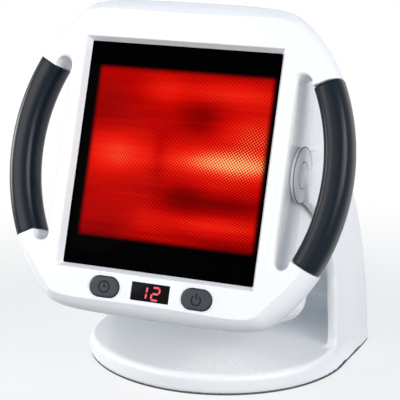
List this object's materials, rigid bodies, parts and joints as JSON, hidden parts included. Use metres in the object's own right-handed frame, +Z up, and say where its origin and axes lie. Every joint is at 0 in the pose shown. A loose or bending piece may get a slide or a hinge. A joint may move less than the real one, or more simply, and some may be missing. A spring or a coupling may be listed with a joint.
{
  "type": "infrared heat therapy lamp",
  "caption": "Table-top infrared lamp: a square heater head with hand grips, push buttons and a digital timer tilts between the arms of a one-piece stand.",
  "frame": {"origin": "on the floor, under the middle of the lamp's bounding box", "axes": "+Z up, +X to the lamp's right as its user faces the glass, +Y from the glass towards the back of the stand"},
  "size_m": [0.2684, 0.2272, 0.2866],
  "materials": {
    "white_shell": "gloss",
    "dark_glass": "gloss",
    "display_pane": "gloss",
    "grip_rubber": "satin",
    "button_plastic": "satin",
    "silicone": "matte",
    "steel": "satin",
    "bright_aluminium": "polished",
    "quartz": "gloss",
    "filament_wire": "matte",
    "holder_ceramic": "matte",
    "board_green": "satin",
    "black_plastic": "matte",
    "bush_brass": "satin",
    "acetal": "satin"
  },
  "bodies": {
    "stand": {"stand_shell": "white_shell", "base_plate": "black_plastic", "base_screw_1": "steel", "base_screw_2": "steel", "base_screw_3": "steel", "base_screw_4": "steel", "rubber_foot_1": "silicone", "rubber_foot_2": "silicone", "rubber_foot_3": "silicone", "rubber_foot_4": "silicone", "friction_washer_left": "acetal", "friction_washer_right": "acetal", "spring_washer_left": "steel", "spring_washer_right": "steel", "pivot_nut_left": "steel", "pivot_nut_right": "steel", "pivot_bolt_left": "steel", "pivot_bolt_right": "steel", "pivot_cap_left": "white_shell", "pivot_cap_right": "white_shell"},
    "head": {"front_bezel": "white_shell", "rear_housing": "white_shell", "glass_panel": "dark_glass", "glass_gasket": "silicone", "glass_frame": "steel", "frame_screw_1": "steel", "frame_screw_2": "steel", "frame_screw_3": "steel", "frame_screw_4": "steel", "housing_screw_1": "steel", "housing_screw_2": "steel", "housing_screw_3": "steel", "housing_screw_4": "steel", "reflector": "bright_aluminium", "heat_shield": "bright_aluminium", "quartz_tube": "quartz", "filament": "filament_wire", "ceramic_holder_left": "holder_ceramic", "ceramic_holder_right": "holder_ceramic", "thermal_cutout": "black_plastic", "terminal_block": "black_plastic", "cord_gland": "black_plastic", "display_window": "display_pane", "display_module": "black_plastic", "control_board": "board_green", "board_screw_1": "steel", "board_screw_2": "steel", "tact_switch_1": "black_plastic", "tact_switch_2": "black_plastic", "left_grip": "grip_rubber", "right_grip": "grip_rubber", "pivot_bush_left": "bush_brass", "pivot_bush_right": "bush_brass"},
    "timer_key": {"timer_button": "button_plastic"},
    "power_key": {"power_button": "button_plastic"}
  },
  "joints": [
    {"name": "head_tilt", "type": "hinge", "parent": "stand", "child": "head", "pos_m": [0, -0.03695, 0.1673], "axis": [-1, 0, 0], "range_deg": [-20, 30]},
    {"name": "timer_button_press", "type": "slide", "parent": "head", "child": "timer_key", "axis": [0, 0.9397, -0.342], "range_m": [0, 0.0012], "stiffness_N_per_m": 400, "springref_m": -0.001},
    {"name": "power_button_press", "type": "slide", "parent": "head", "child": "power_key", "axis": [0, 0.9397, -0.342], "range_m": [0, 0.0012], "stiffness_N_per_m": 400, "springref_m": -0.001}
  ]
}
